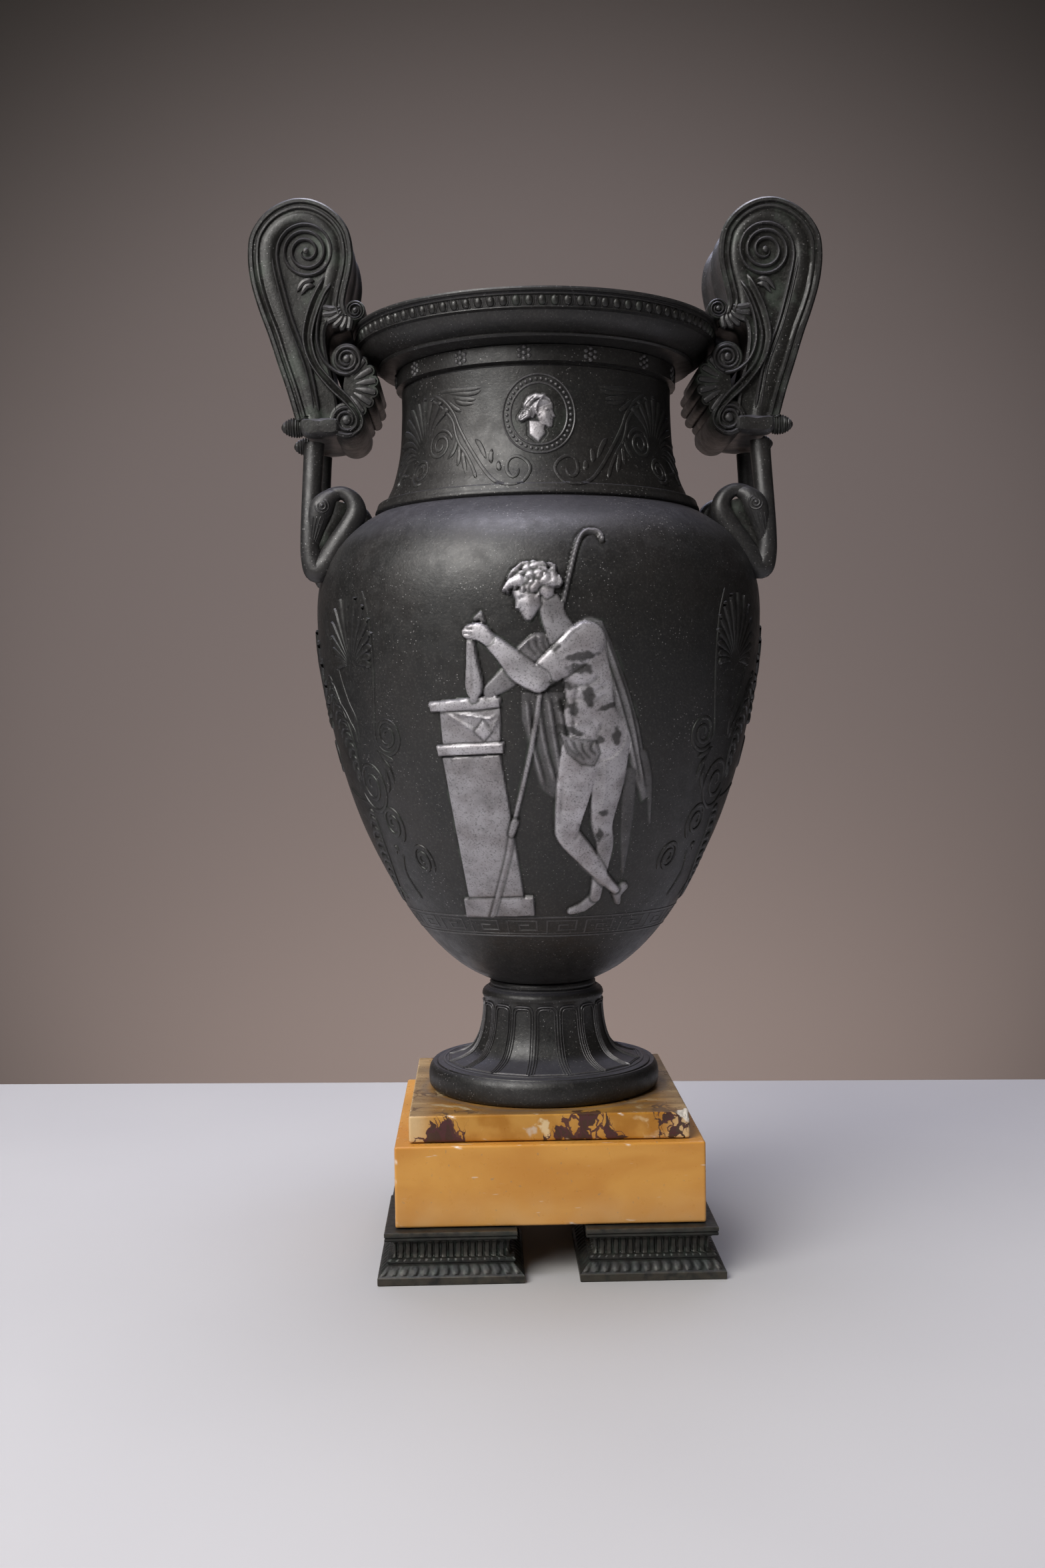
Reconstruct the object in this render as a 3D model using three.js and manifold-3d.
// Bronze volute krater on a stepped marble plinth with four moulded bronze feet.
// Millimetres, +Z up, -Y is the front. The origin is the centre of the footprint, on the floor.

import * as THREE from 'three';
import { mergeVertices } from 'three/addons/utils/BufferGeometryUtils.js';
import Module from 'manifold-3d';

const wasm = await Module();
wasm.setup();

// ---- driving dimensions ---------------------------------------------------------------------

const SEAM = 0.3; // clear gap kept between two pieces that rest on each other
const TURN = 2 * Math.PI;
const SIDES = 36; // flat sides of each turned bronze piece

const CORNER_FOOT = { half: 23.4, centre: 32.2, height: 16.3 };
const BLOCK = { width: 100, depth: 99, height: 26.2 };
const SLAB = { width: 90.8, depth: 91.6, height: 8.7 };
const CHIP = { size: 5.2, turn: 0.72 };

const BLOCK_BASE = CORNER_FOOT.height + SEAM;
const SLAB_BASE = BLOCK_BASE + BLOCK.height + SEAM;
const STEM_BASE = SLAB_BASE + SLAB.height + SEAM;

const STEM = { height: 36.7, discRadius: 40.1, waistRadius: 20.7, collarRadius: 18.4 };
const PANELS = { count: 12, depth: 0.7, low: 9.6, high: 31.2 };

const BODY_BASE = STEM_BASE + STEM.height + SEAM;
const BODY = { widest: 76.2, widestZ: 214, shoulderRise: 43.5, roundness: 2.6, wall: 3 };
const SEAT = { radius: 54.8, opening: 47, height: 249.2 };

const NECK_BASE = SEAT.height + SEAM;
const NECK = { waist: 46.2, wall: 3, bandBase: 292.1, bandRadius: 48 };
const LIP = { radius: 62.5, base: 305.3, top: 311.7 };

const HANDLE = { depth: 42.8, volute: { x: 78, z: 334.6, radius: 17.4 } };
const COLLAR = { inner: 66, outer: 81, low: 272.3, high: 281.2 };
const ROD = { x: 75.8, y: 18.4, radius: 2.7, top: COLLAR.low - SEAM };
const BUD = { length: 5.6, radius: 4.2 };
const SWAN_NECK = 3.3;

// ---- finishes ---------------------------------------------------------------------------------

const darkBronze = { color: 0x3a3935, roughness: 0.45, metalness: 0.85 };
const feetBronze = { color: 0x45443a, roughness: 0.55, metalness: 0.8 };
const veinedMarble = { color: 0xb98a3c, roughness: 0.35, metalness: 0 };
const ochreMarble = { color: 0xc58a3c, roughness: 0.35, metalness: 0 };

// ---- helpers ------------------------------------------------------------------------------------

/** Turns a closed three.js geometry into a solid that can be joined and cut. */
function toSolid(geometry) {
  const bare = geometry.clone();
  bare.deleteAttribute('normal');
  bare.deleteAttribute('uv');
  const merged = mergeVertices(bare, 1e-4);
  return new wasm.Manifold(new wasm.Mesh({
    numProp: 3,
    vertProperties: new Float32Array(merged.attributes.position.array),
    triVerts: new Uint32Array(merged.index.array),
  }));
}

/** Turns a solid back into a three.js geometry. */
function toGeometry(solid) {
  const mesh = solid.getMesh();
  const geometry = new THREE.BufferGeometry();
  geometry.setAttribute('position', new THREE.BufferAttribute(mesh.vertProperties, 3));
  geometry.setIndex(new THREE.BufferAttribute(mesh.triVerts, 1));
  return geometry;
}

/** Joins a list of closed geometries into one solid. */
function joinAll(geometries) {
  return geometries.map(toSolid).reduce((whole, next) => whole.add(next));
}

/** A named mesh with its own finish. */
function piece(name, geometry, finish) {
  const mesh = new THREE.Mesh(geometry, new THREE.MeshStandardMaterial(finish));
  mesh.name = name;
  return mesh;
}

/** Vector2 list from [radius, height] pairs. */
function pairs(list) {
  return list.map(([radius, height]) => new THREE.Vector2(radius, height));
}

/** A smooth run of profile points through a few named ones. */
function smooth(list, steps) {
  return new THREE.SplineCurve(pairs(list)).getPoints(steps);
}

/** Turns an upward profile about the Z axis. */
function turned(profile, segments) {
  const geometry = new THREE.LatheGeometry(profile, segments);
  geometry.rotateX(Math.PI / 2);
  return geometry;
}

/** Extrudes a shape drawn in X and Z through a depth centred on the given Y. */
function slabAlongY(shape, depth, centreY = 0, curveSegments = 6) {
  const geometry = new THREE.ExtrudeGeometry(shape, { depth, bevelEnabled: false, curveSegments });
  geometry.rotateX(Math.PI / 2);
  geometry.translate(0, centreY + depth / 2, 0);
  return geometry;
}

/** A round bar along a smooth curve through the given points. */
function bar(points, radius, steps, sides = 8) {
  const section = new THREE.Shape();
  section.absarc(0, 0, radius, 0, TURN, false);
  const extrudePath = new THREE.CatmullRomCurve3(points, false, 'centripetal');
  return new THREE.ExtrudeGeometry(section, { steps, extrudePath, curveSegments: sides / 2 });
}

// ---- the vessel ---------------------------------------------------------------------------------

/** Outer radius of the shoulder at a height: a superellipse above the widest level. */
function shoulderRadius(height, grow = 0) {
  const rise = (height - BODY.widestZ) / (BODY.shoulderRise + grow);
  return (BODY.widest + grow) * (1 - rise ** BODY.roundness) ** (1 / BODY.roundness);
}

/** The belly from the foot joint up to the widest level. */
function bellyProfile(steps, inset = 0) {
  const belly = [[18.4, 0.3], [27.2, 4.8], [36.6, 13], [45, 23.6], [54.4, 39.5], [62.9, 58],
    [70, 81], [75, 108], [BODY.widest, BODY.widestZ - BODY_BASE]];
  return smooth(belly, steps).map((p) => new THREE.Vector2(
    Math.max(p.x - inset, 0), p.y + BODY_BASE + (inset * (1 - p.x / BODY.widest))));
}

/** The shoulder from just above the widest level to the neck's seat. */
function shoulderProfile(steps, inset = 0) {
  const profile = [];
  for (let i = 1; i <= steps; i += 1) {
    const share = Math.sin((i / steps) * (Math.PI / 2));
    const height = BODY.widestZ + share * (SEAT.height - BODY.widestZ - inset);
    profile.push(new THREE.Vector2(shoulderRadius(height, -inset), height));
  }
  return profile;
}

/** The whole outside of the body, from the foot joint to the neck's seat. */
function vesselOutline() {
  return [...bellyProfile(10), ...shoulderProfile(5)];
}

function buildBody() {
  const floorInside = BODY_BASE + BODY.wall + 2;
  const inside = [...bellyProfile(5, BODY.wall).slice(1), ...shoulderProfile(3, BODY.wall)];
  const profile = [
    new THREE.Vector2(0, BODY_BASE),
    new THREE.Vector2(18.1, BODY_BASE),
    ...vesselOutline(),
    new THREE.Vector2(SEAT.opening, SEAT.height),
    ...inside.reverse().filter((p) => p.x > SEAT.opening - 1 || p.y < BODY.widestZ),
    new THREE.Vector2(0, floorInside),
  ];
  return piece('krater_body', turned(profile, SIDES), darkBronze);
}

/** The concave throat, rosette band, soffit, egg moulding and rim, from the seat upwards. */
function neckOutline() {
  const throat = smooth([[SEAT.radius - 0.4, 251.2], [52.2, 254.6], [49.2, 260.6], [47, 270.5],
    [NECK.waist, 283], [NECK.waist, 291.2]], 6);
  const soffit = smooth([[54.2, 299.7], [56.6, 300.8], [59, 302.9], [60.4, 305]], 3);
  return [
    new THREE.Vector2(SEAT.radius, NECK_BASE),
    ...throat,
    ...pairs([[NECK.bandRadius, NECK.bandBase], [NECK.bandRadius, 297.4], [50, 298], [53.8, 298.9]]),
    ...soffit,
    ...pairs([[60.9, LIP.base + 0.4], [LIP.radius - 0.4, 308.6], [LIP.radius, LIP.top]]),
  ];
}

function buildNeck() {
  const bore = smooth([[59.6, LIP.top - 0.3], [57.2, 306.4], [50.4, 301.6], [45, 296.5],
    [NECK.waist - NECK.wall, 288], [NECK.waist - NECK.wall, 275], [46, 259], [48.6, NECK_BASE]], 6);
  const outline = neckOutline();
  const profile = [...outline, ...bore, outline[0].clone()];
  return piece('krater_neck', turned(profile, SIDES), darkBronze);
}

/** Sinks twelve upright panels into the stem, leaving a rib between each two. */
function panelled(geometry) {
  const at = geometry.attributes.position;
  for (let i = 0; i < at.count; i += 1) {
    const height = at.getZ(i) - STEM_BASE;
    const radius = Math.hypot(at.getX(i), at.getY(i));
    const outside = radius > STEM.waistRadius - 1.5;
    if (outside && height > PANELS.low && height < PANELS.high) {
      const share = ((Math.atan2(at.getY(i), at.getX(i)) / TURN) * PANELS.count + 100.5) % 1;
      const sunk = Math.abs(share - 0.5) < 0.4 ? PANELS.depth : 0;
      const factor = (radius - sunk) / radius;
      at.setXY(i, at.getX(i) * factor, at.getY(i) * factor);
    }
  }
  return geometry;
}

function buildStem() {
  const flare = smooth([[36.9, 8.7], [30.6, 9.9], [25.6, 12.4], [22.9, 16.4], [21.4, 21.5],
    [STEM.waistRadius, 27.9]], 5);
  const bell = smooth([[31.5, 3], [20.5, 7.5], [15.5, 17]], 3);
  const profile = [
    ...pairs([[0, 24], [9, 22.5]]),
    ...bell.reverse(),
    ...pairs([[35.5, 0], [38.9, 0], [39.9, 1.3], [STEM.discRadius, 4.3], [39.6, 7], [38.5, 8.4], [37.4, 7.9]]),
    ...flare,
    ...pairs([[STEM.waistRadius + 0.3, 30.4], [20.2, 32.9], [18.5, 34.3], [STEM.collarRadius, STEM.height]]),
    new THREE.Vector2(0, STEM.height),
  ];
  const geometry = turned(profile, PANELS.count * 4);
  geometry.translate(0, 0, STEM_BASE);
  return piece('krater_foot', panelled(geometry), darkBronze);
}

// ---- the handles --------------------------------------------------------------------------------

/** Side view of the volute strap, from the collar round the crown to the small scroll at the rim. */
function strapShape() {
  const { x, z, radius } = HANDLE.volute;
  const shape = new THREE.Shape();
  shape.moveTo(COLLAR.inner + 0.4, COLLAR.high - 3);
  shape.lineTo(COLLAR.outer - 0.4, COLLAR.high - 3);
  shape.bezierCurveTo(86, 297, 92.6, 313.5, x + radius, z - 2);
  shape.absarc(x, z, radius, 0, Math.PI, false);
  shape.bezierCurveTo(x - radius, 328, 61.2, 322, 62.2, 313.4);
  shape.lineTo(69.4, 311);
  shape.bezierCurveTo(69.8, 303, 68, 297, 67, 289);
  shape.closePath();
  return shape;
}

/** The same outline drawn in, for the sunk face between the border fillets. */
function sunkFaceShape() {
  const { x, z, radius } = HANDLE.volute;
  const inner = radius - 4.2;
  const shape = new THREE.Shape();
  shape.moveTo(75.2, 286);
  shape.bezierCurveTo(81.5, 299, 88.2, 314, x + inner, z - 3);
  shape.absarc(x, z, inner, 0, Math.PI, false);
  shape.bezierCurveTo(x - inner, 322, 72.5, 316, 73.2, 303);
  shape.closePath();
  return shape;
}

/** A fan of rounded lobes that faces the neck. */
function palmetteShape() {
  const centre = { x: 63.4, z: 290.6 };
  const lobes = 7;
  const reach = { tip: 10.9, notch: 9.7 };
  const shape = new THREE.Shape();
  shape.moveTo(centre.x + 5, centre.z + 6);
  for (let i = 0; i <= lobes * 2; i += 1) {
    const angle = Math.PI * (0.62 + (0.86 * i) / (lobes * 2));
    const length = i % 2 ? reach.tip : reach.notch;
    shape.lineTo(centre.x + length * Math.cos(angle), centre.z + length * Math.sin(angle));
  }
  shape.lineTo(centre.x + 5, centre.z - 6);
  shape.closePath();
  return shape;
}

/** A round scroll end, as deep as the handle. */
function scroll(x, z, radius, depth = HANDLE.depth) {
  const shape = new THREE.Shape();
  shape.absarc(x, z, radius, 0, TURN, false);
  return slabAlongY(shape, depth, 0, 5);
}

/** The moulded bar under the volute, with a bud that points outwards at each end. */
function collarAndBuds() {
  const shape = new THREE.Shape();
  shape.moveTo(COLLAR.inner, COLLAR.low + 1.5);
  shape.lineTo(COLLAR.inner + 3, COLLAR.low);
  shape.lineTo(COLLAR.outer - 2, COLLAR.low);
  shape.lineTo(COLLAR.outer, COLLAR.low + 3);
  shape.lineTo(COLLAR.outer, COLLAR.high - 2.4);
  shape.lineTo(COLLAR.outer - 2, COLLAR.high);
  shape.lineTo(COLLAR.inner, COLLAR.high);
  shape.closePath();
  const middle = (COLLAR.low + COLLAR.high) / 2;
  const buds = [-1, 1].map((side) => {
    const bud = new THREE.ConeGeometry(BUD.radius, BUD.length, 8);
    bud.rotateZ(-Math.PI / 2);
    bud.translate(COLLAR.outer + BUD.length / 2 - 0.8, side * (ROD.y - 1.4), middle - 0.6);
    return bud;
  });
  return [slabAlongY(shape, HANDLE.depth), ...buds];
}

/** One rod running down into a swan's neck that loops back over the shoulder, with its head. */
function swanParts(y) {
  const point = (x, z) => new THREE.Vector3(x, y, z);
  const rod = bar([point(ROD.x - 0.3, ROD.top), point(ROD.x, 255), point(ROD.x + 0.2, 236)], ROD.radius, 3);
  const neck = bar([point(ROD.x + 0.1, 239), point(75.4, 232.4), point(71.6, 229.9), point(67.2, 234.6),
    point(62.8, 241.2), point(60.4, 247.4), point(62.2, 252.4), point(66.8, 254.8), point(71, 252.6)],
  SWAN_NECK, 10);
  const head = new THREE.SphereGeometry(1, 8, 6);
  head.scale(3.7, 3.4, 4.6);
  head.rotateY(-0.25);
  head.translate(72.2, y, 249.6);
  const beak = new THREE.ConeGeometry(2.9, 13.5, 8);
  beak.rotateX(-Math.PI / 2);
  beak.rotateY(-0.28);
  beak.translate(74.6, y, 242.4);
  return [rod, neck, head, beak];
}

/** What a handle is cut back to clear: the body, neck and lip, each grown by the seam. */
function vesselClearance() {
  const grow = SEAM * 1.4;
  const wider = (p) => new THREE.Vector2(p.x + grow, p.y);
  const body = vesselOutline().map(wider);
  const bodyTop = SEAT.height + grow;
  body.forEach((p) => { p.y = p.y > BODY.widestZ ? p.y + grow : p.y; });
  const lip = neckOutline().map(wider);
  lip.forEach((p) => { p.y = p.y > LIP.top - 0.1 ? p.y + grow : p.y; });
  lip.forEach((p) => { p.y = p.y > 297 && p.y < LIP.base + 0.6 ? p.y - grow : p.y; });
  const axis = (height) => new THREE.Vector2(0, height);
  const solids = [[axis(BODY_BASE), ...body, axis(bodyTop)], [axis(NECK_BASE), ...lip, axis(LIP.top + grow)]];
  return joinAll(solids.map((profile) => turned(profile, SIDES)));
}

function buildHandleSolid() {
  const { x, z } = HANDLE.volute;
  const plate = toSolid(slabAlongY(strapShape(), HANDLE.depth, 0, 8));
  const sink = 1.2;
  const faces = [-1, 1].map((side) => slabAlongY(sunkFaceShape(), sink * 2, side * (HANDLE.depth / 2)));
  const sunk = faces.map(toSolid).reduce((rest, face) => rest.subtract(face), plate);
  const raised = joinAll([
    scroll(x - 1.4, z - 0.6, 8.6, HANDLE.depth - 0.6),
    scroll(63, 298.6, 6.2),
    scroll(64.2, 280.1, 6.8),
    scroll(60.2, 315, 2.7),
    slabAlongY(palmetteShape(), HANDLE.depth - 2),
    ...collarAndBuds(),
  ]);
  return sunk.add(raised);
}

/** A piece of the right side, and its twin turned half round the axis for the left side. */
function twins(nameRight, nameLeft, solid) {
  const geometry = toGeometry(solid);
  const right = piece(nameRight, geometry, darkBronze);
  const left = piece(nameLeft, geometry.clone(), darkBronze);
  left.rotation.z = Math.PI;
  return [left, right];
}

function buildHandles() {
  const clearance = vesselClearance();
  const cut = (solid) => solid.subtract(clearance);
  return [
    ...twins('handle_right', 'handle_left', cut(buildHandleSolid())),
    ...twins('swan_right_front', 'swan_left_back', cut(joinAll(swanParts(-ROD.y)))),
    ...twins('swan_right_back', 'swan_left_front', cut(joinAll(swanParts(ROD.y)))),
  ];
}

// ---- the plinth ---------------------------------------------------------------------------------

/** The upper slab of veined marble, with its front right corner knocked off. */
function buildSlab() {
  const box = new THREE.BoxGeometry(SLAB.width, SLAB.depth, SLAB.height);
  const chip = new THREE.BoxGeometry(CHIP.size, CHIP.size, CHIP.size);
  chip.rotateZ(Math.PI / 4);
  chip.rotateX(CHIP.turn);
  chip.translate(SLAB.width / 2 + 0.4, -SLAB.depth / 2 - 0.5, SLAB.height / 2 + 0.7);
  const geometry = toGeometry(toSolid(box).subtract(toSolid(chip)));
  geometry.translate(0, 0, SLAB_BASE + SLAB.height / 2);
  return piece('plinth_slab', geometry, veinedMarble);
}

function buildBlock() {
  const geometry = new THREE.BoxGeometry(BLOCK.width, BLOCK.depth, BLOCK.height);
  geometry.translate(0, 0, BLOCK_BASE + BLOCK.height / 2);
  return piece('plinth_block', geometry, ochreMarble);
}

/** One square moulded foot: base fillet, sloping band, hollow and top flange. */
function buildCornerFoot(name, sideX, sideY) {
  const { half, height, centre } = CORNER_FOOT;
  const outline = [[0, 0], [half - 0.3, 0], [half, 0.5], [half, 2.6], [half - 1.2, 3.4], [half - 3.4, 6],
    [half - 4.8, 7.8], [half - 5.3, 10.2], [half - 4.9, 12.6], [half - 2.5, 13.4], [half - 2.2, 15.8],
    [half - 2.6, height], [0, height]];
  const profile = outline.map(([reach, level]) => new THREE.Vector2(reach * Math.SQRT2, level));
  const geometry = turned(profile, 4);
  geometry.rotateZ(Math.PI / 4);
  geometry.translate(sideX * centre, sideY * centre, 0);
  return piece(name, geometry, feetBronze);
}

function buildCornerFeet() {
  const places = { front_left: [-1, -1], front_right: [1, -1], back_left: [-1, 1], back_right: [1, 1] };
  return Object.entries(places).map(([place, [x, y]]) => buildCornerFoot(`foot_${place}`, x, y));
}

// ---- the whole object ---------------------------------------------------------------------------

const krater = new THREE.Group();
krater.add(buildBody(), buildNeck(), buildStem(), ...buildHandles());
krater.add(buildSlab(), buildBlock(), ...buildCornerFeet());

export default krater;
